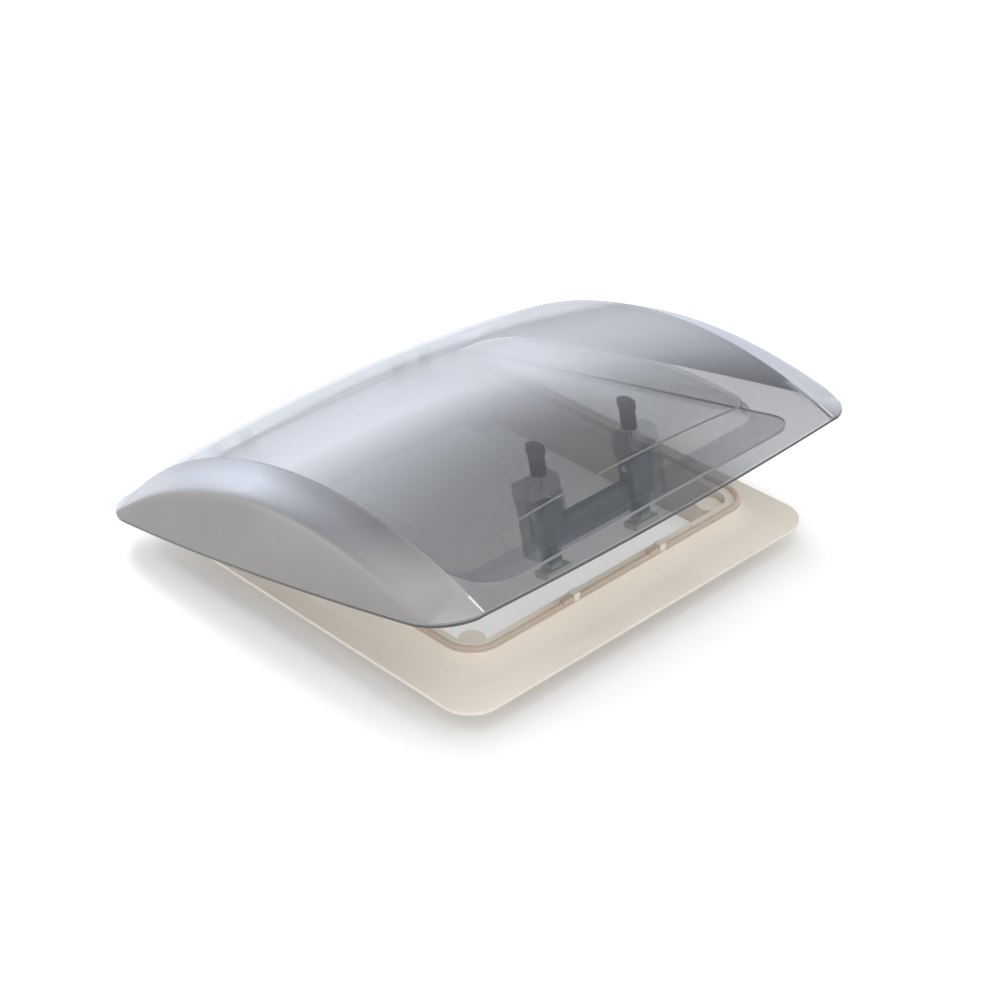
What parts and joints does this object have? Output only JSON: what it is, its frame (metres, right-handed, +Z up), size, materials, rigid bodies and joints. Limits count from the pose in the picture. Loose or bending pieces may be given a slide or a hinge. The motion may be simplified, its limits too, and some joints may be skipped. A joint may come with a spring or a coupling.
{
  "type": "caravan roof vent",
  "caption": "Square caravan roof vent: cream frame with a sealed collar and a rear hinged, double glazed smoked dome held shut by a swing latch.",
  "frame": {"origin": "centre of the roof opening, in the plane of the roof surface under the flange", "axes": "+Z up out of the roof, +Y towards the hinged back edge, +X to the right seen from the front"},
  "size_m": [0.435, 0.3979, 0.1552],
  "materials": {
    "cream_plastic": "fine matt moulding",
    "tan_rubber": "matt rubber bead",
    "smoked_acrylic": "see-through smoked panel with frosted sides",
    "clear_acrylic": "clear, glossy",
    "clear_plastic": "clear moulding with light edges",
    "grey_plastic": "matt",
    "blue_grey_plastic": "satin moulding",
    "black_rubber": "matt",
    "steel": "zinc plated"
  },
  "bodies": {
    "frame": {"roof_frame": "cream_plastic", "collar_seal": "tan_rubber", "hinge_base_left": "grey_plastic", "hinge_base_right": "grey_plastic", "hinge_base_screws": "steel", "hinge_pin_left": "steel", "hinge_pin_right": "steel", "pin_rings": "steel", "friction_washers": "black_rubber"},
    "dome": {"outer_dome": "smoked_acrylic", "inner_dome": "clear_acrylic", "hinge_leaf_left": "grey_plastic", "hinge_leaf_right": "grey_plastic", "leaf_screws": "steel", "rear_spacers": "grey_plastic", "spacer_bushes": "black_rubber", "latch_screws": "steel", "latch_bracket_left": "clear_plastic", "latch_bracket_right": "clear_plastic", "latch_pins": "steel"},
    "latch": {"latch_handle": "blue_grey_plastic"}
  },
  "joints": [
    {"name": "dome_hinge", "type": "hinge", "parent": "frame", "child": "dome", "pos_m": [0, 0.162, 0.013], "axis": [-1, 0, 0], "range_deg": [-11.9, 12.1]},
    {"name": "latch_hinge", "type": "hinge", "parent": "dome", "child": "latch", "pos_m": [0, -0.11767, 0.08011], "axis": [1, 0, 0], "range_deg": [-10, 10]}
  ]
}
